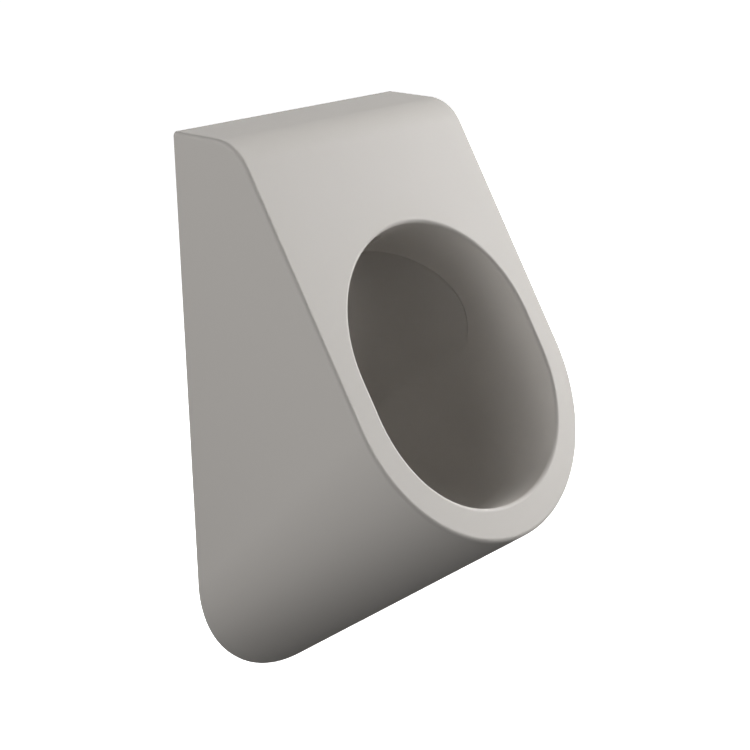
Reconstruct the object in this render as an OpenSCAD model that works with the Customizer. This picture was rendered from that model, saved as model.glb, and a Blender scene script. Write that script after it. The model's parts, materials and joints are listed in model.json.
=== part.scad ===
/* [Ceramic body] */
// Width of the body
body_w = 300; // [280:1:340]
// Height of the body
body_h = 605; // [590:1:660]
// Depth of the top, from the wall to where the front face would meet it
top_d = 78; // [70:1:90]
// Depth of the front lip from the wall
lip_d = 297; // [285:1:330]
// Height of the front lip above the lowest point
lip_h = 252; // [240:1:265]
// Radius between the top and the front face
top_r = 44; // [30:1:55]
// Radius along the edges of the top and the front face
edge_r = 4; // [2:0.5:6]
// Flat land of the rear rim before the underside starts to climb
rim_land = 2; // [1:0.5:4]
// Thickness of the outer shell
shell_t = 12; // [11:0.5:14]

/* [Mouth and bowl] */
// Width of the mouth and of the bowl
mouth_w = 246; // [236:1:256]
// Straight length between the round ends of the mouth
mouth_straight = 36; // [20:1:50]
// Radius of the mouth's edge
mouth_r = 4; // [2:0.5:6]
// Thickness of the bowl's wall
bowl_t = 16; // [16:0.5:18]
// Depth from the front face at which the mouth's floor turns level
turn_d = 67; // [60:1:74]
// Fall of the bowl's floor towards the drain, in degrees
floor_fall = 4.7; // [3:0.1:6]
// Distance from the wall to the back of the bowl, at the top
back_d = 72; // [68:1:76]
// Lean of the bowl's back, further back at the bottom, in degrees
back_lean = 8; // [6:0.5:9]
// Radius of the bowl's back in plan
back_r = 147; // [140:1:160]

/* [Drain] */
// Distance from the wall to the middle of the drain
drain_d = 84; // [82:1:88]
// Radius of the recess that the waste flange lies in
seat_r = 37; // [36:0.5:38]
// Depth of that recess below the bowl's floor
seat_sink = 4.3; // [4:0.1:5]
// Radius of the drain hole
drain_r = 23; // [22.5:0.1:24]
// Thickness of the floor under the flange
seat_t = 16; // [15.5:0.5:17]
// Thickness of the rubber rings above and under the floor
gasket_t = 2; // [1.5:0.1:2.5]
// Radius of the waste flange
flange_r = 35; // [34:0.5:35.5]
// Thickness of the waste flange
flange_t = 3; // [2.5:0.1:4]
// Outer radius of the waste tube
tube_r = 21.5; // [21:0.1:22]
// Length of the waste tube under the flange
tube_len = 40; // [36:1:42]
// Radius of the strainer plate
strainer_r = 26; // [24:0.5:26.5]
// Thickness of the strainer plate
strainer_t = 2; // [1.5:0.1:2.5]
// Radius of the strainer's holes
strainer_hole_r = 2.4; // [1.8:0.1:2.6]

/* [Trap] */
// Outer radius of the trap body
trap_r = 32; // [31:0.5:33]
// Wall of the trap's plastic parts
trap_t = 2.5; // [2:0.1:3]
// Depth of the water seal
water_seal = 50; // [40:1:50]
// Outer radius of the dip tube
dip_r = 15.5; // [14:0.5:16]
// Wall of the dip tube
dip_t = 2; // [1.5:0.1:2.5]
// Gap between the dip tube's end and the cup's bottom
dip_gap = 6.5; // [5:0.5:7]
// Radius of the cup's bottom
cup_foot_r = 19; // [18:0.5:19.5]
// Outer radius of the outlet pipe
outlet_r = 20; // [18:0.5:20]
// Wall of the outlet pipe
outlet_t = 2; // [1.5:0.1:2.5]
// Length of the outlet pipe behind the wall face
outlet_reach = 60; // [40:1:80]

/* [Water inlet] */
// Depth of the nozzle behind the front face
nozzle_d = 45; // [40:1:50]
// Radius of the nozzle's flange
nozzle_r = 14; // [12:0.5:15]
// Radius of the nozzle's shank
shank_r = 9; // [8:0.5:10]
// Length from the nozzle's union to the elbow's corner
corner_len = 15; // [14:0.5:18]
// Outer radius of the elbow's pipe
elbow_r = 8; // [7.5:0.1:8.5]
// Wall of the elbow's pipe
elbow_t = 2; // [1.6:0.1:2.2]
// Radius of the brass tail's wall thread
tail_r = 10.5; // [10:0.1:11]
// Length of the brass tail behind the wall face
tail_reach = 25; // [15:1:35]

/* [Wall fixing] */
// Distance of the hanger bolts below the top
bolt_drop = 70; // [67:1:75]
// Distance between the hanger bolts
bolt_span = 190; // [180:1:200]
// Radius of the hanger bolts
bolt_r = 4; // [3:0.5:5]
// Length of the hanger bolts behind the wall face
bolt_reach = 45; // [35:1:55]
// Width of a wall hook
hook_w = 36; // [30:1:40]
// Thickness of the hook's steel
hook_t = 4; // [3:0.5:4.5]
// Height of the hook's upturned lip above its arm
hook_lip = 14; // [10:1:16]
// Thickness of the rubber pad on the hook
pad_t = 2; // [1.5:0.5:3]

/* [Hidden] */

// Overrun of every cut, running clearance of parts that move, and gap of parts that are screwed up
over = 1;
clear = 0.3;
snug = 0.05;
arc_steps = 128;
edge_steps = 4;
part_steps = 64;

// Side profile: the front face leans back by tilt, and s runs down the face from its top edge
tilt = atan((lip_d - top_d) / (body_h - lip_h));
face_len = norm([lip_d - top_d, body_h - lip_h]);
half_w = body_w / 2;
top_tangent = top_r * tan((90 - tilt) / 2);
plate_t = edge_r;

// Mouth: its lower end is concentric with the face's round lower end
mouth_end_r = mouth_w / 2;
low_s = face_len - half_w;
high_s = low_s - mouth_straight;
mouth_top_s = high_s - mouth_end_r;

// Point where the mouth's floor turns into the bowl's floor
turn_y = -top_d - (low_s + mouth_end_r) * sin(tilt) + turn_d * cos(tilt);
turn_z = body_h - (low_s + mouth_end_r) * cos(tilt) - turn_d * sin(tilt);
space = body_h + lip_d;

// Bowl's back: an upright half-pipe that leans, through this point at the ceiling
back_z = body_h - mouth_top_s * cos(tilt) - (top_d + mouth_top_s * sin(tilt) - back_d) * tan(tilt);

// Heights around the drain
drain_floor = turn_z - (-drain_d - turn_y) * tan(floor_fall);
seat_z = drain_floor - seat_sink;
under_z = seat_z - seat_t;
flange_z = seat_z + gasket_t;
plate_proud = 0.5;
plate_z = flange_z + flange_t - strainer_t + plate_proud;
ledge_z = flange_z - flange_t * 2;
seal_wire = 1.2;
ledge_r = dip_r + snug + seal_wire;
bore_r = tube_r - trap_t;
insert_seal_z = ledge_z - 4 * seal_wire;

// Trap: the outlet hangs under the floor, and the dip tube ends a water seal below its invert
nut_wall = 4;
trap_top = under_z - gasket_t;
socket_r = outlet_r + snug + trap_t + clear;
outlet_nut_r = socket_r + nut_wall;
outlet_z = trap_top - outlet_nut_r;
branch_bore_r = outlet_r - outlet_t - over;
dip_end = outlet_z - branch_bore_r - water_seal;
cup_floor = dip_end - dip_gap;
cup_lap = 14;
cup_joint = outlet_z - socket_r - cup_lap;
cup_taper = 34;
socket_y = -drain_d + trap_r + cup_lap + trap_t + clear + snug;
socket_lap = 14;
bead_w = 6;

// Nozzle stack, along the nozzle's own axis from the bowl's ceiling
nozzle_sink = 1;
nozzle_flange_t = 2.5;
nozzle_seal_t = 1.5;
nozzle_seat = nozzle_sink + nozzle_flange_t + nozzle_seal_t;
boss_rise = 6;
boss_top = bowl_t + boss_rise;
boss_land = 6;
boss_r = nozzle_r + boss_land;
nozzle_nut_t = 8;
union_t = 12;
shank_end = boss_top + nozzle_nut_t + union_t;
collar_t = 1.5;
elbow_start = shank_end + 2 * collar_t;
jet_r = 1.2;
jet_ring = nozzle_r / 2;

// Elbow and tail: the corner turns from the nozzle's axis to the wall's normal
nozzle_y = -top_d - mouth_top_s * sin(tilt) + nozzle_d * cos(tilt);
nozzle_z = body_h - mouth_top_s * cos(tilt) - nozzle_d * sin(tilt);
corner_at = elbow_start + corner_len;
corner_swell = 2.5;
corner_r = elbow_r + corner_swell;
corner_y = nozzle_y + corner_at * sin(tilt);
inlet_z = nozzle_z + corner_at * cos(tilt);
elbow_bore = elbow_r - elbow_t;
tail_socket_r = elbow_r + nut_wall;
tail_lap = 20;
tail_end_y = corner_y + corner_len;
tail_hex_t = 8;
tail_bore = elbow_bore - over;
tail_y = tail_end_y + over + clear;
tail_ring_r = elbow_r + clear - snug - seal_wire;
tail_ring_at = -tail_y - tail_lap / 2;

// Wall fixing: a web behind the rim hangs on the hooks' arms
bolt_h = body_h - bolt_drop;
web_y = 16;
web_t = 12;
web_drop = 20;
web_low = bolt_h - web_drop;
web_gap = 56;
arm_rise = 20;
arm_z = bolt_h + arm_rise;
window_gap = 2;
window_low = bolt_h + window_gap;
window_w = hook_w + 2 * window_gap;
lip_gap = 3;
arm_len = web_y + web_t + lip_gap + hook_t;
plate_drop = 30;
plate_low = bolt_h - plate_drop;
washer_t = 1.6;
washer_r = bolt_r * 2;
nut_t = 6.5;
nut_r = 7.5;
bolt_proud = 2;
bolt_front = hook_t + washer_t + nut_t + bolt_proud;
stem_r = bolt_r - clear;
tip_len = 8;

// Row frame: the origin is on the wall face, midway between the hanger bolts
module in_row() {
  translate([0, 0, -bolt_h]) children();
}

// Face frame: x to the right, y up the face, z out of the face, origin at the face's top edge
module on_face() {
  translate([0, -top_d, body_h]) rotate([90 - tilt, 0, 0]) children();
}

// Drain frame: upright, on the drain's axis
module on_drain() {
  translate([0, -drain_d, 0]) children();
}

// Nozzle frame: z runs up out of the bowl's ceiling
module on_nozzle() {
  on_face() translate([0, -mouth_top_s, -nozzle_d]) rotate([-90, 0, 0]) children();
}

// Wall frame: z points to the room from the wall face
module from_wall() {
  rotate([90, 0, 0]) children();
}

module rod(radius, base, height) {
  translate([0, 0, base]) cylinder(r = radius, h = height, $fn = part_steps);
}

module tube(outer, inner, low, high) {
  difference() {
    rod(outer, low, high - low);
    rod(inner, low - over, high - low + 2 * over);
  }
}

module hexagon(radius, low, high) {
  translate([0, 0, low]) cylinder(r = radius, h = high - low, $fn = 6);
}

module ring_seal(radius, wire) {
  rotate_extrude($fn = part_steps) translate([radius, 0]) circle(r = wire, $fn = part_steps);
}

// Outline of the face: straight sides with a round lower end
module face_outline(width_half, from_s) {
  translate([-width_half, -low_s]) square([2 * width_half, low_s - from_s]);
  translate([0, -low_s]) circle(r = width_half, $fn = arc_steps);
}

// Everything of the front that lies sink below the surface and inset from its edge
module front_layer(inset, sink) {
  on_face() translate([0, 0, -sink - plate_t]) linear_extrude(plate_t)
    face_outline(half_w - inset, top_tangent);
  translate([0, top_tangent - top_d, body_h - top_r]) rotate([0, 90, 0])
    cylinder(r = top_r - sink, h = body_w - 2 * inset, center = true, $fn = arc_steps);
  translate([inset - half_w, top_tangent - top_d, body_h - sink - plate_t])
    cube([body_w - 2 * inset, top_d - top_tangent, plate_t]);
}

// Rear outline on the wall, from near to far behind it
module rear_layer(inset, near, far) {
  translate([0, far, 0]) from_wall() linear_extrude(far + near) {
    translate([0, half_w]) circle(r = half_w - inset, $fn = arc_steps);
    translate([inset - half_w, half_w])
      square([body_w - 2 * inset, body_h - half_w - max(inset, edge_r)]);
  }
}

module outer_form() {
  hull() {
    rear_layer(0, rim_land, 0);
    for (i = [0:edge_steps]) {
      a = 90 * i / edge_steps;
      front_layer(edge_r * (1 - sin(a)), edge_r * (1 - cos(a)));
    }
  }
}

module hollow_form() {
  hull() {
    rear_layer(shell_t, rim_land, over);
    front_layer(shell_t, shell_t);
  }
}

// Section of the mouth, grown outwards
module mouth_outline(grow) {
  translate([0, -low_s]) circle(r = mouth_end_r + grow, $fn = arc_steps);
  translate([0, -high_s]) circle(r = mouth_end_r + grow, $fn = arc_steps);
  translate([-mouth_end_r - grow, -low_s]) square([mouth_w + 2 * grow, mouth_straight]);
}

// Round-bottomed trough of the bowl's floor; its crease with the mouth is where the floor turns
module trough(grow) {
  translate([0, turn_y, turn_z]) rotate([-floor_fall, 0, 0]) translate([0, space, mouth_end_r])
    from_wall() linear_extrude(2 * space) {
      circle(r = mouth_end_r + grow, $fn = arc_steps);
      translate([-mouth_end_r - grow, 0]) square([mouth_w + 2 * grow, space]);
    }
}

// Leaning half-pipe of the bowl's back, with all the space in front of it
module back_side(grow) {
  translate([0, -back_d, back_z]) rotate([back_lean, 0, 0]) translate([0, grow - back_r, -space]) {
    cylinder(r = back_r, h = 2 * space, $fn = arc_steps);
    translate([-back_r, -space, 0]) cube([2 * back_r, space, 2 * space]);
  }
}

// The bowl's room, grown outwards, from this far in front of the face
module bowl_form(grow, front) {
  intersection() {
    on_face() translate([0, 0, -space]) linear_extrude(space + front) mouth_outline(grow);
    trough(grow);
    back_side(grow);
  }
}

module ceramic_body() {
  color([0.78, 0.76, 0.74]) in_row() difference() {
    union() {
      difference() {
        outer_form();
        hollow_form();
      }
      bowl_form(bowl_t, -shell_t / 2);
      drain_boss();
      on_nozzle() rod(boss_r, bowl_t / 2, boss_top - bowl_t / 2);
      fixing_web();
    }
    bowl_form(0, over);
    mouth_edge();
    on_drain() rod(seat_r, seat_z, seat_r);
    on_drain() rod(drain_r, under_z - over, seat_t + 2 * over);
    on_nozzle() rod(nozzle_r + clear, -nozzle_r, nozzle_r + nozzle_seat);
    on_nozzle() rod(shank_r + clear, 0, boss_top + over);
  }
}

module drain_boss() {
  on_drain() rod(seat_r + gasket_t, under_z, seat_t);
}

// Rounds the mouth's edge over to the face
module mouth_edge() {
  on_face() translate([0, 0, -mouth_r]) {
    for (s = [low_s, high_s]) translate([0, -s, 0]) rotate_extrude($fn = arc_steps) edge_profile();
    translate([0, -high_s, 0]) rotate([90, 0, 0]) linear_extrude(mouth_straight) {
      edge_profile();
      mirror([1, 0]) edge_profile();
    }
  }
}

module edge_profile() {
  difference() {
    square([mouth_end_r + mouth_r, mouth_r + over]);
    translate([mouth_end_r + mouth_r, 0]) circle(r = mouth_r, $fn = part_steps);
  }
}

module fixing_web() {
  difference() {
    translate([shell_t / 2 - half_w, -web_y - web_t, web_low])
      cube([body_w - shell_t, web_t, body_h - shell_t / 2 - web_low]);
    translate([-web_gap / 2, -web_y - web_t - over, web_low - over])
      cube([web_gap, web_t + 2 * over, arm_z + hook_lip - web_low]);
    for (side = [-1, 1])
      translate([side * bolt_span / 2 - window_w / 2, -web_y - web_t - over, window_low])
        cube([window_w, web_t + 2 * over, arm_z + hook_t + pad_t - window_low]);
  }
}

// Waste fitting: a flange in the bowl, and a tube that screws into the trap's collar
module waste_flange() {
  color("silver") in_row() on_drain() difference() {
    union() {
      rod(flange_r, flange_z, flange_t);
      rod(tube_r, flange_z - tube_len, tube_len + flange_t / 2);
    }
    rod(strainer_r + clear, plate_z, flange_t);
    rod(bore_r, ledge_z, tube_len);
    rod(ledge_r, flange_z - tube_len - over, tube_len);
  }
}

module flange_gasket() {
  color("dimgray") in_row() on_drain() tube(flange_r, drain_r, seat_z, flange_z);
}

module drain_strainer() {
  color("gainsboro") in_row() on_drain() {
    difference() {
      rod(strainer_r, plate_z, strainer_t);
      strainer_holes();
    }
    tube(bore_r - clear, bore_r - clear - strainer_t,
      ledge_z + flange_t + clear, plate_z + strainer_t / 2);
    rod(strainer_hole_r, plate_z + strainer_t / 2, strainer_t);
    rod(2 * strainer_hole_r, plate_z + 1.5 * strainer_t, strainer_t / 2);
  }
}

// Two rings of holes inside the skirt
module strainer_holes() {
  ring_shares = [0.38, 0.76];
  hole_counts = [6, 12];
  skirt_in = bore_r - clear - strainer_t - strainer_hole_r - over;
  for (ring = [0, 1]) for (i = [1:hole_counts[ring]])
    rotate(360 * i / hole_counts[ring])
      translate([skirt_in * ring_shares[ring] / ring_shares[1], 0, plate_z - over])
        cylinder(r = strainer_hole_r, h = strainer_t + 2 * over, $fn = part_steps / 2);
}

// Dip tube: its collar rests on the ledge inside the waste tube, and a bar spans it for pulling
module trap_insert() {
  color("whitesmoke") in_row() on_drain() {
    difference() {
      union() {
        rod(dip_r, dip_end, ledge_z - dip_end + flange_t / 2);
        rod(bore_r - clear, ledge_z, flange_t);
      }
      rod(dip_r - dip_t, dip_end - over, ledge_z - dip_end + flange_t + 2 * over);
      translate([0, 0, insert_seal_z]) ring_seal(dip_r, seal_wire);
    }
    translate([-dip_r + dip_t / 2, -dip_t, ledge_z + flange_t / 3])
      cube([2 * dip_r - dip_t, 2 * dip_t, flange_t / 3]);
  }
}

module insert_seal() {
  color("black") in_row() on_drain() translate([0, 0, insert_seal_z]) ring_seal(dip_r, seal_wire);
}

module trap_seal() {
  color("dimgray") in_row() on_drain() tube(trap_r, drain_r, trap_top, under_z);
}

// Trap body: threaded collar, bottle wall and a branch to the rear
module trap_body() {
  color("whitesmoke") in_row() difference() {
    union() {
      on_drain() rod(trap_r, cup_joint, trap_top - cup_joint);
      translate([0, socket_y, outlet_z]) from_wall() rod(socket_r, 0, drain_d + socket_y);
    }
    on_drain() difference() {
      rod(trap_r - trap_t, cup_joint - over, trap_top - trap_t - cup_joint + over);
      rod(drain_r + trap_t, flange_z - tube_len, tube_len);
    }
    on_drain() rod(tube_r + snug, flange_z - tube_len - over, tube_len + 2 * over);
    translate([0, socket_y + over, outlet_z]) from_wall()
      rod(branch_bore_r, 0, drain_d + socket_y + over - tube_r - trap_t);
    translate([0, socket_y + over, outlet_z]) from_wall() rod(outlet_r + snug, 0, socket_lap + over);
  }
}

// Cup: screwed over the body's lower end, and tapered to clear the ceramic underside
module trap_cup() {
  cup_r = trap_r + snug + trap_t;
  color("gainsboro") in_row() on_drain() rotate_extrude($fn = part_steps) polygon([
    [0, cup_floor - trap_t], [cup_foot_r, cup_floor - trap_t], [trap_r, cup_floor + cup_taper - trap_t],
    [cup_r, cup_joint - 2 * trap_t], [cup_r, cup_joint + cup_lap], [trap_r + snug, cup_joint + cup_lap],
    [trap_r + snug, cup_joint - trap_t], [trap_r - trap_t, cup_joint - trap_t],
    [trap_r - trap_t, cup_floor + cup_taper], [cup_foot_r - trap_t, cup_floor], [0, cup_floor]
  ]);
}

module cup_seal() {
  color("black") in_row() on_drain() tube(trap_r, trap_r - trap_t, cup_joint - trap_t, cup_joint);
}

// Outlet pipe, with the bead that the wall socket stops at
module outlet_pipe() {
  color("whitesmoke") in_row() translate([0, outlet_reach, outlet_z]) from_wall() {
    tube(outlet_r, outlet_r - outlet_t, 0, outlet_reach - socket_y + socket_lap);
    tube(outlet_r + outlet_t, outlet_r - outlet_t / 2, outlet_reach, outlet_reach + bead_w);
  }
}

// Cone seal in the mouth of the branch
module outlet_seal() {
  color("black") in_row() translate([0, socket_y, outlet_z]) from_wall() rotate([0, 180, 0])
    tube(socket_r, outlet_r + snug, 0, trap_t);
}

module outlet_nut() {
  color("gainsboro") in_row() translate([0, socket_y, outlet_z]) from_wall() rotate([0, 180, 0])
    difference() {
      translate([0, 0, -cup_lap]) cylinder(r = outlet_nut_r, h = cup_lap + 2 * trap_t, $fn = 8);
      rod(socket_r + snug, -cup_lap - over, cup_lap + trap_t + over);
      rod(outlet_r + clear, -cup_lap - over, cup_lap + 3 * trap_t);
    }
}

// Nozzle: a flush flange with a ring of jets, and a threaded shank through the ceiling
module spray_nozzle() {
  color("silver") in_row() on_nozzle() difference() {
    union() {
      rod(nozzle_r, nozzle_sink, nozzle_flange_t);
      rod(shank_r, nozzle_sink, shank_end - nozzle_sink);
    }
    rod(elbow_bore, nozzle_sink + nozzle_flange_t, shank_end);
    for (i = [1:6]) rotate(60 * i) translate([elbow_bore - 2 * jet_r, 0, 0])
      cylinder(r = jet_r, h = nozzle_seat, $fn = part_steps / 2);
  }
}

module nozzle_seal() {
  color("dimgray") in_row() on_nozzle()
    tube(nozzle_r, shank_r + snug, nozzle_seat - nozzle_seal_t, nozzle_seat);
}

module nozzle_nut() {
  color("goldenrod") in_row() on_nozzle() difference() {
    hexagon(nozzle_r + nozzle_flange_t, boss_top, boss_top + nozzle_nut_t);
    rod(shank_r + snug, boss_top - over, nozzle_nut_t + 2 * over);
  }
}

// Elbow: a collar at the nozzle, a round corner, and a socket at the tail
module inlet_elbow() {
  color("whitesmoke") in_row() difference() {
    union() {
      on_nozzle() rod(shank_r, elbow_start - collar_t, collar_t);
      on_nozzle() rod(elbow_r, elbow_start - collar_t, corner_len + collar_t);
      translate([0, corner_y, inlet_z]) sphere(r = corner_r, $fn = part_steps);
      translate([0, tail_end_y, inlet_z]) from_wall() rod(elbow_r, 0, corner_len);
      translate([0, tail_end_y + tail_lap, inlet_z]) from_wall() rod(tail_socket_r, 0, tail_lap);
    }
    on_nozzle() rod(elbow_bore, elbow_start - collar_t - over, corner_len + collar_t + over);
    translate([0, tail_end_y + over, inlet_z]) from_wall() rod(tail_bore, 0, corner_len + over);
    translate([0, tail_end_y + tail_lap + over, inlet_z]) from_wall() rod(elbow_r + clear, 0, tail_lap);
  }
}

module elbow_seal() {
  color("black") in_row() on_nozzle() tube(shank_r, elbow_bore, shank_end, elbow_start - collar_t);
}

module elbow_nut() {
  color("gainsboro") in_row() on_nozzle() difference() {
    hexagon(shank_r + nut_wall, elbow_start - union_t, elbow_start + nut_wall / 2);
    rod(shank_r + snug, elbow_start - union_t - over, union_t + over + snug);
    rod(elbow_r + clear, shank_end, union_t * 2);
  }
}

// Brass tail: a spigot in the elbow's socket, a hexagon, and the thread for the wall valve
module inlet_tail() {
  color("goldenrod") in_row() translate([0, 0, inlet_z]) from_wall() difference() {
    union() {
      rod(tail_r, -tail_reach, tail_reach + tail_hex_t);
      hexagon(tail_r + nut_wall, tail_hex_t / 4, tail_hex_t);
      rod(elbow_r, tail_hex_t / 2, -tail_y - tail_hex_t / 2);
    }
    rod(tail_bore, -tail_reach - over, tail_reach - tail_y + 2 * over);
    translate([0, 0, tail_ring_at]) ring_seal(tail_ring_r, seal_wire);
  }
}

module tail_seal() {
  color("black") in_row() translate([0, 0, inlet_z]) from_wall()
    translate([0, 0, tail_ring_at]) ring_seal(tail_ring_r, seal_wire);
}

module inlet_nut() {
  nut_y = tail_end_y + tail_lap;
  color("gainsboro") in_row() translate([0, nut_y, inlet_z]) from_wall() difference() {
    hexagon(tail_socket_r + nut_wall, -nut_wall, union_t);
    rod(tail_socket_r + snug, -snug, union_t + 2 * over);
    rod(elbow_r + snug, -nut_wall - over, union_t);
  }
}

// Hook: a plate on the wall, an arm through the web's window and an upturned lip
module wall_hook(side) {
  color("lightsteelblue") in_row() translate([side * bolt_span / 2 - hook_w / 2, 0, 0]) difference() {
    union() {
      translate([0, -hook_t, plate_low]) cube([hook_w, hook_t, arm_z + hook_t - plate_low]);
      translate([0, -arm_len, arm_z]) cube([hook_w, arm_len, hook_t]);
      translate([0, -arm_len, arm_z]) cube([hook_w, hook_t, hook_t + hook_lip]);
    }
    translate([hook_w / 2, 0, bolt_h]) from_wall()
      rod(bolt_r + clear, -over, hook_t + 2 * over);
  }
}

module hook_left() {
  wall_hook(-1);
}

module hook_right() {
  wall_hook(1);
}

module hook_pads() {
  color("black") in_row() for (side = [-1, 1])
    translate([side * bolt_span / 2 - hook_w / 2, hook_t - arm_len, arm_z + hook_t])
      cube([hook_w, arm_len - 2 * hook_t, pad_t]);
}

module at_bolts() {
  for (side = [-1, 1]) translate([side * bolt_span / 2, 0, bolt_h]) from_wall() children();
}

module hanger_bolts() {
  color("silver") in_row() at_bolts() {
    rod(bolt_r, tip_len - bolt_reach, bolt_reach - tip_len);
    rod(stem_r, 0, bolt_front);
    translate([0, 0, -bolt_reach]) cylinder(r1 = bolt_r / 4, r2 = bolt_r, h = tip_len, $fn = part_steps);
  }
}

module bolt_washers() {
  color("silver") in_row() at_bolts() tube(washer_r, stem_r + snug, hook_t, hook_t + washer_t);
}

module bolt_nuts() {
  color("silver") in_row() at_bolts() difference() {
    hexagon(nut_r, hook_t + washer_t, hook_t + washer_t + nut_t);
    rod(stem_r + snug, hook_t, nut_t + 2 * over + washer_t);
  }
}

ceramic_body();
waste_flange();
flange_gasket();
drain_strainer();
trap_insert();
insert_seal();
trap_seal();
trap_body();
trap_cup();
cup_seal();
outlet_pipe();
outlet_seal();
outlet_nut();
spray_nozzle();
nozzle_seal();
nozzle_nut();
inlet_elbow();
elbow_seal();
elbow_nut();
inlet_tail();
tail_seal();
inlet_nut();
hook_left();
hook_right();
hook_pads();
hanger_bolts();
bolt_washers();
bolt_nuts();
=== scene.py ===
import json
import math

import bmesh
import bpy
from mathutils import Matrix, Vector


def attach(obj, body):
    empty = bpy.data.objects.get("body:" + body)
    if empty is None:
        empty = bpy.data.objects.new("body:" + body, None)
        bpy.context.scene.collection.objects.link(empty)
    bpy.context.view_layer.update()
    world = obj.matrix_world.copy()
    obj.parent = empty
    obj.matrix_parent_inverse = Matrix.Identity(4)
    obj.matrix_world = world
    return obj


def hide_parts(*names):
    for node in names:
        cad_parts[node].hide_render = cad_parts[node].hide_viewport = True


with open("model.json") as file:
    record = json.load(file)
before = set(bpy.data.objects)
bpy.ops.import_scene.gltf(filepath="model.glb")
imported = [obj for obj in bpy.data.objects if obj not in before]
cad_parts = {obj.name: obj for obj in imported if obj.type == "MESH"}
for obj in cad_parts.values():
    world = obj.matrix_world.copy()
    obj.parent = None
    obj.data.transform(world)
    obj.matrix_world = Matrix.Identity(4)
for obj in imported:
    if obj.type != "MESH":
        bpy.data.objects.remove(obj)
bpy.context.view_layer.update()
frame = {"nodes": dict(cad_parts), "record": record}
nodes = frame["nodes"]

# Outside of the fired body, in metres; heights count from its lowest point, depths from the wall face
WALL_BOLTS = 0.535
HALF_WIDTH = 0.150
HEIGHT = 0.605
TOP_DEPTH = 0.078
LIP_DEPTH = 0.297
LIP_HEIGHT = 0.252
TOP_RADIUS = 0.044
EDGE_RADIUS = 0.004
RIM_LAND = 0.002
SHELL = 0.012
BOWL_WALL = 0.016
OVERRUN = 0.001

# Mouth: two ends, slightly squarer than half circles, with a straight stretch between them
MOUTH_RADIUS = 0.1205
MOUTH_RISE = 0.0026
MOUTH_STRAIGHT = 0.0355
SQUARE_TOP = 0.0004
SQUARE_LOW = 0.0013
LIP_ROUND = 0.004

# Bowl: a trough that turns off the mouth, a leaning round back, and how softly the two meet
TURN_DEPTH = 0.067
FLOOR_FALL = math.radians(6.557)
BACK_DEPTH = 0.0695
BACK_LEAN = math.radians(8)
BACK_RADIUS = 0.136
BACK_BLEND = 0.16
BLEND_MIDDLE_SHARE = 0.3
BLEND_FLANK_SHARE = 2.8

# Crease between the mouth's wall and the back: a thin groove, sharper towards the sides
CREASE_DEPTH = 0.0019
CREASE_START = 0.003
CREASE_FADE = 0.006
CREASE_MIDDLE_SHARE = 0.45

# Steps along each line that runs down the mouth's wall and over the bowl
WALL_STEPS = 60
FLOOR_STEPS = 180
CURVE_STEPS = 240
LIP_STEPS = 7
SOFT_PASSES = 2
WALL_ROW_SHARE = 0.3

# Drain: the flange's recess under the floor, the hole below it and the boss round both
DRAIN_DEPTH = 0.084
DRAIN_RADIUS = 0.023
DRAIN_HOLE_LENGTH = 0.030
FLANGE_RADIUS = 0.037
FLANGE_SINK = 0.0043
SEAT_THICKNESS = 0.016
DRAIN_BOSS_RADIUS = 0.039

# Nozzle: its recess and its hole along the slope, and the boss behind them
NOZZLE_UP = 0.159
NOZZLE_DEPTH = 0.045
NOZZLE_DROP = 0.014
NOZZLE_SEAT = 0.005
NOZZLE_RECESS_RADIUS = 0.0143
NOZZLE_HOLE_RADIUS = 0.0093
NOZZLE_BOSS_RADIUS = 0.020
NOZZLE_BOSS_FOOT = 0.008
NOZZLE_BOSS_TOP = 0.022

# Fixing web across the rear, with a gap for the inlet and a window for each hook
WEB_DEPTH = 0.016
WEB_THICKNESS = 0.012
WEB_LOW = 0.515
INLET_GAP_HALF = 0.028
INLET_GAP_HIGH = 0.569
BOLT_SPACING = 0.190
WINDOW_HALF = 0.020
WINDOW_LOW = 0.537
WINDOW_HIGH = 0.561

# Limits for the mesh operators
ROUND_STEPS = 96
HULL_MERGE = 1e-6
BOWL_MERGE = 2e-5
LIP_OUT = 2e-5
LIP_CUT = 0.01
FLAT_ANGLE = math.radians(0.1)
EDGE_ANGLE = math.radians(30)
EDGE_SEGMENTS = 6
SMOOTH_ANGLE = math.radians(32)
SHADING_WEIGHT = 80

# Finishes and stage
GRAIN_SCALE = 400.0
GRAIN_DEPTH = 0.0005
FLOOR_SIZE = 60
FLOOR_DROP = 0.4
FLOOR_GLOW = 0.97
FLOOR_DARK = (0.03, 0.03, 0.03, 1)
FLOOR_PALE = (0.9, 0.9, 0.9, 1)
WHITE = (1, 1, 1, 1)
LIGHT_AIM = Vector((0, -0.15, -0.25))

# Places that follow from the sizes; S runs down the inclined face from its top edge
TILT = math.atan((LIP_DEPTH - TOP_DEPTH) / (HEIGHT - LIP_HEIGHT))
SLOPE_UP = Vector((0, math.sin(TILT), math.cos(TILT)))
FACE_LENGTH = math.hypot(LIP_DEPTH - TOP_DEPTH, HEIGHT - LIP_HEIGHT)
LOW_S = FACE_LENGTH - HALF_WIDTH
TOP_TANGENT = TOP_RADIUS * math.tan((math.pi / 2 - TILT) / 2)
MOUTH_TOP_S = LOW_S - MOUTH_RISE - MOUTH_STRAIGHT - MOUTH_RADIUS
MOUTH_TOP_DEPTH = TOP_DEPTH + MOUTH_TOP_S * math.sin(TILT)
MOUTH_FOOT_S = LOW_S - MOUTH_RISE + MOUTH_RADIUS
TURN_Y = -TOP_DEPTH - MOUTH_FOOT_S * math.sin(TILT) + TURN_DEPTH * math.cos(TILT)
TURN_Z = HEIGHT - MOUTH_FOOT_S * math.cos(TILT) - TURN_DEPTH * math.sin(TILT)
BACK_Z = HEIGHT - MOUTH_TOP_S * math.cos(TILT) - (MOUTH_TOP_DEPTH - BACK_DEPTH) * math.tan(TILT)


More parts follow.
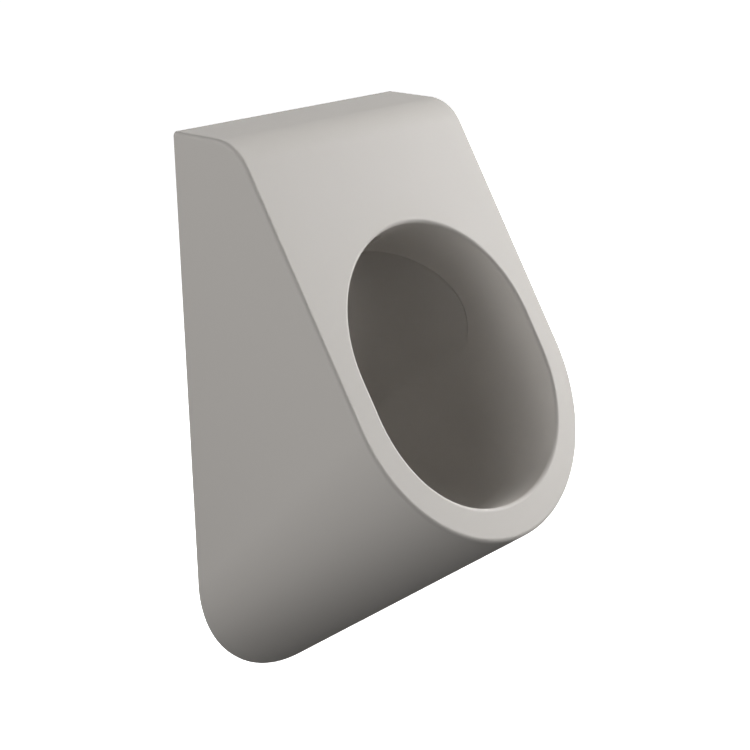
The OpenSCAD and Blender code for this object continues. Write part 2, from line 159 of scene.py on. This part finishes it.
def on_face(x, up, out):
    """A point by the inclined face: across, up the slope from its round end's centre, and out of it."""
    s = LOW_S - up
    return Vector((
        x,
        -TOP_DEPTH - s * math.sin(TILT) - out * math.cos(TILT),
        HEIGHT - s * math.cos(TILT) + out * math.sin(TILT) - WALL_BOLTS,
    ))


def from_low(x, y, z):
    """A point whose height counts from the body's lowest point."""
    return (x, y, z - WALL_BOLTS)


def deselect():
    """Leaves edit mode and selects nothing."""
    if bpy.context.object and bpy.context.object.mode != "OBJECT":
        bpy.ops.object.mode_set(mode="OBJECT")
    bpy.ops.object.select_all(action="DESELECT")


def only(obj):
    """Selects one object alone and makes it active."""
    deselect()
    obj.select_set(True)
    bpy.context.view_layer.objects.active = obj


def placed(name):
    """Names the new primitive and puts its place into its mesh."""
    obj = bpy.context.object
    obj.name = name
    bpy.ops.object.transform_apply(location=True, rotation=True, scale=True)
    return obj


def cut(obj, tool):
    """Cuts the tool's form out of the object, and removes the tool."""
    only(obj)
    boolean = obj.modifiers.new("Cut", "BOOLEAN")
    boolean.operation = "DIFFERENCE"
    boolean.solver = "EXACT"
    boolean.object = tool
    bpy.ops.object.modifier_apply(modifier=boolean.name)
    bpy.data.objects.remove(tool)


# Outer form

def hull_form(name, inset, sink, behind, steps):
    """The hull between the rear outline on the wall and the inclined face."""
    half = HALF_WIDTH - inset
    on_wall = (math.pi / 2, 0, 0)
    deselect()
    bpy.ops.mesh.primitive_circle_add(
        vertices=steps, radius=half, location=from_low(0, behind, HALF_WIDTH), rotation=on_wall)
    obj = placed(name)
    bpy.ops.object.mode_set(mode="EDIT")
    bpy.ops.mesh.primitive_circle_add(
        vertices=steps, radius=half, location=from_low(0, -RIM_LAND, HALF_WIDTH), rotation=on_wall)
    bpy.ops.mesh.primitive_circle_add(
        vertices=steps, radius=half, location=on_face(0, 0, -sink), rotation=(math.pi / 2 - TILT, 0, 0))
    top = HEIGHT - sink - WALL_BOLTS
    bottom = HALF_WIDTH - WALL_BOLTS
    bpy.ops.mesh.primitive_cube_add(
        size=1, location=(0, (behind - RIM_LAND) / 2, (top + bottom) / 2),
        scale=(2 * half, behind + RIM_LAND, top - bottom))
    for side in (-1, 1):
        bpy.ops.mesh.primitive_circle_add(
            vertices=steps // 2, radius=TOP_RADIUS - sink,
            location=from_low(side * half, TOP_TANGENT - TOP_DEPTH, HEIGHT - TOP_RADIUS),
            rotation=(0, math.pi / 2, 0))
    bpy.ops.mesh.select_all(action="SELECT")
    bpy.ops.mesh.convex_hull()
    bpy.ops.mesh.select_all(action="SELECT")
    bpy.ops.mesh.remove_doubles(threshold=HULL_MERGE)
    bpy.ops.mesh.dissolve_limited(angle_limit=FLAT_ANGLE)
    bpy.ops.object.mode_set(mode="OBJECT")
    return obj


def round_front_edges(obj):
    """Rounds the edges of the top and of the inclined face, and leaves the rear rim sharp."""
    only(obj)
    bpy.ops.object.mode_set(mode="EDIT")
    bpy.ops.mesh.select_mode(type="EDGE")
    bpy.ops.mesh.select_all(action="DESELECT")
    mesh = bmesh.from_edit_mesh(obj.data)
    for edge in mesh.edges:
        front = min(v.co.y for v in edge.verts) < -1.5 * RIM_LAND
        edge.select = front and len(edge.link_faces) == 2 and edge.calc_face_angle() > EDGE_ANGLE
    bmesh.update_edit_mesh(obj.data)
    bpy.ops.mesh.bevel(
        offset=EDGE_RADIUS, segments=EDGE_SEGMENTS, profile=0.5, affect="EDGES", clamp_overlap=False)
    bpy.ops.object.mode_set(mode="OBJECT")


# Bowl

def bowl_depths(x, up, grow):
    """How deep the bowl's trough and its back are behind a point of the face."""
    radius = MOUTH_RADIUS + grow
    point = on_face(x, up, 0)
    y, z = point.y, point.z + WALL_BOLTS
    height = (z - TURN_Z) * math.cos(FLOOR_FALL) + (y - TURN_Y) * math.sin(FLOOR_FALL)
    side = MOUTH_RADIUS - math.sqrt(max(radius * radius - x * x, 0))
    trough = (height - side) / math.sin(TILT - FLOOR_FALL)
    reach = (y + BACK_DEPTH) * math.cos(BACK_LEAN) + (z - BACK_Z) * math.sin(BACK_LEAN)
    bulge = math.sqrt(max((BACK_RADIUS + grow) ** 2 - x * x, 0)) - BACK_RADIUS
    back = (bulge - reach) / math.cos(TILT + BACK_LEAN)
    return trough, back


def bowl_depth(x, up, grow):
    """How deep the bowl is behind a point of the face, with its trough and back run together."""
    trough, back = bowl_depths(x, up, grow)
    part = min((x / (MOUTH_RADIUS + grow)) ** 2, 1)
    blend = BACK_BLEND * (BLEND_MIDDLE_SHARE + BLEND_FLANK_SHARE * part * (1 - part))
    mix = max(blend - abs(trough - back), 0) / blend
    return min(trough, back) - mix * mix * blend / 4


def mouth_columns(count):
    """Directions round the mouth, evenly by length: (centre up the slope, across, up)."""
    arc = math.pi * MOUTH_RADIUS
    whole = 2 * arc + 2 * MOUTH_STRAIGHT
    columns = []
    for i in range(count):
        way = whole * i / count
        if way < MOUTH_STRAIGHT:
            columns.append((MOUTH_RISE + way, 1.0, 0.0))
        elif way < MOUTH_STRAIGHT + arc:
            a = (way - MOUTH_STRAIGHT) / MOUTH_RADIUS
            columns.append((MOUTH_RISE + MOUTH_STRAIGHT, math.cos(a), math.sin(a)))
        elif way < 2 * MOUTH_STRAIGHT + arc:
            columns.append((MOUTH_RISE + 2 * MOUTH_STRAIGHT + arc - way, -1.0, 0.0))
        else:
            a = math.pi + (way - 2 * MOUTH_STRAIGHT - arc) / MOUTH_RADIUS
            columns.append((MOUTH_RISE, math.cos(a), math.sin(a)))
    return columns


def mouth_radius(column):
    """The mouth's radius along a column; its ends are slightly squarer than half circles."""
    _, across, up = column
    return MOUTH_RADIUS + (SQUARE_TOP if up > 0 else SQUARE_LOW) * (2 * across * up) ** 2


def softened(path, reach):
    """Rounds the corner of a path of evenly spaced points, and keeps its ends."""
    last = len(path) - 1
    result = []
    for i in range(len(path)):
        span = min(reach, i, last - i)
        near = path[i - span:i + span + 1]
        weights = [span + 1 - abs(k - span) for k in range(len(near))]
        total = sum(weights)
        result.append(tuple(sum(w * p[axis] for w, p in zip(weights, near)) / total for axis in (0, 1)))
    return result


def resampled(path, count):
    """The same path with its points evenly spaced along it."""
    lengths = [0.0]
    for a, b in zip(path, path[1:]):
        lengths.append(lengths[-1] + math.hypot(b[0] - a[0], b[1] - a[1]))
    result = []
    k = 0
    for i in range(count):
        goal = lengths[-1] * i / (count - 1)
        while k < len(path) - 2 and lengths[k + 1] < goal:
            k += 1
        part = (goal - lengths[k]) / max(lengths[k + 1] - lengths[k], 1e-9)
        a, b = path[k], path[k + 1]
        result.append((a[0] + (b[0] - a[0]) * part, a[1] + (b[1] - a[1]) * part))
    return result


def crease_sharpness(across, up, radius, grow):
    """From 0, where the back has run into the trough, to 1 at the crease's sharpest."""
    trough, back = bowl_depths(across * radius, up, grow)
    apart = min(max((trough - back - CREASE_START) / CREASE_FADE, 0), 1)
    return apart * (CREASE_MIDDLE_SHARE + (1 - CREASE_MIDDLE_SHARE) * across * across)


def bowl_path(column, grow, start, count, fillet):
    """Down the mouth's wall from a depth and along the bowl to its middle, as (radius, depth)."""
    centre, across, up = column
    radius = mouth_radius(column) + grow
    edge = bowl_depth(across * radius, centre + up * radius, grow)
    wall = [(radius, start + (edge - start) * i / WALL_STEPS) for i in range(WALL_STEPS)]
    floor = []
    for i in range(CURVE_STEPS + 1):
        r = radius * math.cos(math.pi / 2 * i / CURVE_STEPS)
        floor.append((r, bowl_depth(across * r, centre + up * r, grow)))
    path = wall + resampled(floor, FLOOR_STEPS)
    crisp = crease_sharpness(across, centre + up * radius, radius, grow)
    for _ in range(SOFT_PASSES):
        path = softened(path, round(fillet * (1 - crisp)))
    corner, depth = path[WALL_STEPS]
    path[WALL_STEPS] = (corner, depth + CREASE_DEPTH * crisp)
    rows = round(count * WALL_ROW_SHARE)
    return resampled(path[:WALL_STEPS + 1], rows + 1) + resampled(path[WALL_STEPS:], count - rows)[1:]


def bowl_rim(grow):
    """Where the columns start, as (outwards, depth): the rounded lip, or plain inside the face's wall."""
    if grow:
        return [(grow, SHELL / 2), (grow, SHELL)]
    rim = [(LIP_ROUND, -LIP_CUT), (LIP_ROUND, -LIP_OUT)]
    for i in range(1, LIP_STEPS + 1):
        a = math.pi / 2 * i / LIP_STEPS
        rim.append((LIP_ROUND * (1 - math.sin(a)), LIP_ROUND * (1 - math.cos(a))))
    return rim


def bowl_form(name, grow, fillet, around, rings):
    """Closed form of the bowl's room; with grow it is the outside of the bowl's wall."""
    rim = bowl_rim(grow)
    start = rim[-1][1]
    count = len(rim) - 1 + rings
    columns = mouth_columns(around)
    paths = []
    for column in columns:
        lip = [(mouth_radius(column) + out, depth) for out, depth in rim[:-1]]
        paths.append(lip + bowl_path(column, grow, start, rings, fillet))
    deselect()
    bpy.ops.mesh.primitive_grid_add(x_subdivisions=around, y_subdivisions=count - 1, size=2)
    obj = placed(name)
    for vertex in obj.data.vertices:
        i = round((vertex.co.x + 1) / 2 * around) % around
        k = round((vertex.co.y + 1) / 2 * (count - 1))
        centre, across, up = columns[i]
        r, depth = paths[i][k]
        vertex.co = on_face(across * r, centre + up * r, -depth)
    bpy.ops.object.mode_set(mode="EDIT")
    bpy.ops.mesh.select_all(action="SELECT")
    bpy.ops.mesh.remove_doubles(threshold=BOWL_MERGE)
    bpy.ops.mesh.select_all(action="DESELECT")
    bpy.ops.mesh.select_mode(type="EDGE")
    bpy.ops.mesh.select_non_manifold()
    bpy.ops.mesh.edge_face_add()
    bpy.ops.mesh.select_all(action="SELECT")
    bpy.ops.mesh.normals_make_consistent(inside=False)
    bpy.ops.object.mode_set(mode="OBJECT")
    return obj


# Rear hollow, with what stands in it

def block(name, low, high):
    """A box between two corners."""
    deselect()
    bpy.ops.mesh.primitive_cube_add(
        size=1, location=[(a + b) / 2 for a, b in zip(low, high)],
        scale=[b - a for a, b in zip(low, high)])
    return placed(name)


def rod(name, radius, foot, way, length):
    """A round bar from its foot along a way."""
    way = Vector(way).normalized()
    deselect()
    bpy.ops.mesh.primitive_cylinder_add(
        vertices=ROUND_STEPS, radius=radius, depth=length, location=Vector(foot) + way * length / 2,
        rotation=way.to_track_quat("Z", "Y").to_euler())
    return placed(name)


def under_floor(down):
    """A point on the drain's axis, this far below the bowl's floor."""
    floor = TURN_Z - (-DRAIN_DEPTH - TURN_Y) * math.tan(FLOOR_FALL)
    return from_low(0, -DRAIN_DEPTH, floor - down)


def drain_rod(name, radius, down, length):
    """An upright round bar on the drain's axis, whose foot is this far below the floor."""
    return rod(name, radius, under_floor(down), (0, 0, 1), length)


def nozzle_rod(name, radius, foot, top):
    """A round bar on the nozzle's axis, which runs up the slope."""
    return rod(name, radius, on_face(0, NOZZLE_UP + foot, -NOZZLE_DEPTH), SLOPE_UP, top - foot)


def fixing_web():
    """The ceramic plate that the hooks hold, from side to side under the top."""
    half = HALF_WIDTH - SHELL / 2
    rear = -WEB_DEPTH
    front = rear - WEB_THICKNESS
    web = block("Fixing web", from_low(-half, front, WEB_LOW), from_low(half, rear, HEIGHT - SHELL / 2))
    cut(web, block(
        "Gap for the inlet",
        from_low(-INLET_GAP_HALF, front - OVERRUN, WEB_LOW - OVERRUN),
        from_low(INLET_GAP_HALF, rear + OVERRUN, INLET_GAP_HIGH)))
    for side in (-1, 1):
        middle = side * BOLT_SPACING / 2
        cut(web, block(
            "Hook window",
            from_low(middle - WINDOW_HALF, front - OVERRUN, WINDOW_LOW),
            from_low(middle + WINDOW_HALF, rear + OVERRUN, WINDOW_HIGH)))
    return web


def rear_hollow():
    """The open room behind the bowl; what is cut out of it here stays ceramic."""
    hollow = hull_form("Rear hollow", inset=SHELL, sink=SHELL, behind=OVERRUN, steps=192)
    cut(hollow, bowl_form("Bowl outside", grow=BOWL_WALL, fillet=3, around=256, rings=48))
    cut(hollow, fixing_web())
    cut(hollow, drain_rod("Drain boss", DRAIN_BOSS_RADIUS, FLANGE_SINK + SEAT_THICKNESS, SEAT_THICKNESS))
    cut(hollow, nozzle_rod("Nozzle boss", NOZZLE_BOSS_RADIUS, NOZZLE_BOSS_FOOT, NOZZLE_BOSS_TOP))
    return hollow


def fired_body():
    """The whole ceramic body, with the bowl, the rear hollow and the seats of drain and nozzle."""
    body = hull_form("fired_body", inset=0, sink=0, behind=0, steps=256)
    round_front_edges(body)
    cut(body, rear_hollow())
    cut(body, bowl_form("Bowl room", grow=0, fillet=5, around=384, rings=96))
    cut(body, drain_rod("Flange recess", FLANGE_RADIUS, FLANGE_SINK, FLANGE_RADIUS))
    cut(body, drain_rod(
        "Drain hole", DRAIN_RADIUS, FLANGE_SINK + SEAT_THICKNESS + OVERRUN, DRAIN_HOLE_LENGTH))
    cut(body, nozzle_rod("Nozzle recess", NOZZLE_RECESS_RADIUS, -NOZZLE_DROP, NOZZLE_SEAT))
    cut(body, nozzle_rod("Nozzle hole", NOZZLE_HOLE_RADIUS, 0, NOZZLE_BOSS_TOP + OVERRUN))
    only(body)
    bpy.ops.object.shade_smooth_by_angle(angle=SMOOTH_ANGLE)
    shading = body.modifiers.new("Even shading", "WEIGHTED_NORMAL")
    shading.keep_sharp = True
    shading.weight = SHADING_WEIGHT
    bpy.ops.object.modifier_apply(modifier=shading.name)
    return body


# Finishes

def finish(name, colour, roughness, metallic=0.0, grain=0.0, specular=0.5):
    """A plain finish, with a fine moulded or plated grain where one is given."""
    material = bpy.data.materials.new(name)
    material.use_nodes = True
    tree = material.node_tree
    shader = tree.nodes["Principled BSDF"]
    shader.inputs["Base Color"].default_value = (*colour, 1)
    shader.inputs["Roughness"].default_value = roughness
    shader.inputs["Metallic"].default_value = metallic
    shader.inputs["Specular IOR Level"].default_value = specular
    if grain:
        place = tree.nodes.new("ShaderNodeTexCoord")
        noise = tree.nodes.new("ShaderNodeTexNoise")
        noise.inputs["Scale"].default_value = GRAIN_SCALE
        bump = tree.nodes.new("ShaderNodeBump")
        bump.inputs["Strength"].default_value = grain
        bump.inputs["Distance"].default_value = GRAIN_DEPTH
        tree.links.new(place.outputs["Object"], noise.inputs["Vector"])
        tree.links.new(noise.outputs["Fac"], bump.inputs["Height"])
        tree.links.new(bump.outputs["Normal"], shader.inputs["Normal"])
    return material


def dress(obj, slot):
    """Gives a piece the finish of its slot."""
    obj.data.materials.clear()
    obj.data.materials.append(FINISHES[slot])


FINISHES = {
    "ceramic": finish("Matte warm grey glaze", (0.47, 0.45, 0.426), 0.6, specular=0.12),
    "chromed_brass": finish("Chrome", (0.8, 0.8, 0.82), 0.12, metallic=1.0),
    "grey_rubber": finish("Grey rubber", (0.09, 0.09, 0.092), 0.7, grain=0.2),
    "black_rubber": finish("Black rubber", (0.02, 0.02, 0.02), 0.6, grain=0.2),
    "white_plastic": finish("White polypropylene", (0.68, 0.68, 0.66), 0.45, grain=0.1),
    "brass": finish("Turned brass", (0.62, 0.42, 0.16), 0.3, metallic=1.0),
    "zinc_steel": finish("Zinc plated steel", (0.5, 0.51, 0.52), 0.38, metallic=1.0, grain=0.1),
}

slot_of = {part["node"]: part["material_slot"] for part in frame["record"]["subparts"]}
for name, node in nodes.items():
    dress(node, slot_of[name])

body = fired_body()
dress(body, "ceramic")
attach(body, "urinal")
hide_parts("ceramic_body")


# Floor, lights and camera

def stage_floor():
    """A floor well below the part, pale to the camera and dark to the light that falls on it."""
    deselect()
    bpy.ops.mesh.primitive_plane_add(size=FLOOR_SIZE, location=(0, 0, -WALL_BOLTS - FLOOR_DROP))
    floor = placed("Floor")
    material = bpy.data.materials.new("Pale floor")
    material.use_nodes = True
    tree = material.node_tree
    shader = tree.nodes["Principled BSDF"]
    shader.inputs["Roughness"].default_value = 0.9
    shader.inputs["Specular IOR Level"].default_value = 0.0
    path = tree.nodes.new("ShaderNodeLightPath")
    colour = tree.nodes.new("ShaderNodeMix")
    colour.data_type = "RGBA"
    colour.inputs["A"].default_value = FLOOR_DARK
    colour.inputs["B"].default_value = FLOOR_PALE
    tree.links.new(path.outputs["Is Camera Ray"], colour.inputs["Factor"])
    tree.links.new(colour.outputs["Result"], shader.inputs["Base Color"])
    glow = tree.nodes.new("ShaderNodeMath")
    glow.operation = "MULTIPLY"
    glow.inputs[1].default_value = FLOOR_GLOW
    tree.links.new(path.outputs["Is Camera Ray"], glow.inputs[0])
    shader.inputs["Emission Color"].default_value = WHITE
    tree.links.new(glow.outputs["Value"], shader.inputs["Emission Strength"])
    floor.data.materials.append(material)


def direction(azimuth, elevation):
    """Towards a light, from degrees; the azimuth runs from the front to the right."""
    level = math.cos(math.radians(elevation))
    turn = math.radians(azimuth)
    return Vector((math.sin(turn) * level, -math.cos(turn) * level, math.sin(math.radians(elevation))))


def lamp(name, light, place, away):
    """Hangs a light at a place, with its back turned away from the part."""
    obj = bpy.data.objects.new(name, light)
    obj.location = place
    obj.rotation_euler = away.to_track_quat("Z", "Y").to_euler()
    bpy.context.scene.collection.objects.link(obj)


def softbox(name, azimuth, elevation, strength, size, distance):
    """A round soft light that looks at the middle of the part."""
    away = direction(azimuth, elevation)
    light = bpy.data.lights.new(name, "AREA")
    light.shape = "DISK"
    light.size = size
    light.energy = strength * (math.pi * distance) ** 2
    lamp(name, light, LIGHT_AIM + away * distance, away)


def sun(name, azimuth, elevation, strength, angle):
    """A distant light with soft edges."""
    light = bpy.data.lights.new(name, "SUN")
    light.energy = math.pi * strength
    light.angle = math.radians(angle)
    lamp(name, light, (0, 0, 0), direction(azimuth, elevation))


def dome():
    """A world that gives no light, but shows white to the camera, to metal and through glass."""
    world = bpy.data.worlds.new("Studio dome")
    bpy.context.scene.world = world
    world.use_nodes = True
    tree = world.node_tree
    tree.nodes.clear()
    output = tree.nodes.new("ShaderNodeOutputWorld")
    unlit = tree.nodes.new("ShaderNodeBackground")
    unlit.inputs["Color"].default_value = WHITE
    unlit.inputs["Strength"].default_value = 0.0
    white = tree.nodes.new("ShaderNodeBackground")
    white.inputs["Color"].default_value = WHITE
    white.inputs["Strength"].default_value = 1.0
    path = tree.nodes.new("ShaderNodeLightPath")
    mirrored = tree.nodes.new("ShaderNodeMath")
    mirrored.operation = "MAXIMUM"
    seen = tree.nodes.new("ShaderNodeMath")
    seen.operation = "MAXIMUM"
    mix = tree.nodes.new("ShaderNodeMixShader")
    tree.links.new(path.outputs["Is Camera Ray"], mirrored.inputs[0])
    tree.links.new(path.outputs["Is Glossy Ray"], mirrored.inputs[1])
    tree.links.new(mirrored.outputs["Value"], seen.inputs[0])
    tree.links.new(path.outputs["Is Transmission Ray"], seen.inputs[1])
    tree.links.new(seen.outputs["Value"], mix.inputs["Fac"])
    tree.links.new(unlit.outputs["Background"], mix.inputs[1])
    tree.links.new(white.outputs["Background"], mix.inputs[2])
    tree.links.new(mix.outputs["Shader"], output.inputs["Surface"])


def photo_camera():
    """The camera at the photograph's angle."""
    eye = Vector(from_low(-0.9100, -0.8881, 0.8222))
    right = Vector((0.6521, -0.7581, 0)).normalized()
    up = Vector((0.2735, 0.2353, 0.9326)).normalized()
    data = bpy.data.cameras.new("Camera")
    data.lens = 63.02
    data.sensor_width = 36
    camera = bpy.data.objects.new("Camera", data)
    turn = Matrix((right, up, right.cross(up))).transposed().to_4x4()
    camera.matrix_world = Matrix.Translation(eye) @ turn
    bpy.context.scene.collection.objects.link(camera)
    bpy.context.scene.camera = camera


stage_floor()
dome()
softbox("Key from the right", 60, 20, strength=0.92, size=1.65, distance=3)
softbox("High key from the right", 75, 30, strength=0.67, size=1.65, distance=3)
softbox("Front from the right", 45, 25, strength=0.175, size=1.65, distance=3)
softbox("Low front from the right", 60, 5, strength=0.19, size=1.1, distance=2)
softbox("Fill from the left", -105, 35, strength=0.37, size=1.1, distance=2)
softbox("Level fill from the left", -75, 5, strength=0.138, size=1.1, distance=2)
softbox("Low fill from the left", -75, -10, strength=0.218, size=0.6, distance=2)
softbox("Fill from behind", 180, 3, strength=0.39, size=1.1, distance=2)
sun("Top from behind", 180, 70, strength=0.072, angle=30)
photo_camera()
bpy.context.scene.view_settings.view_transform = "Standard"
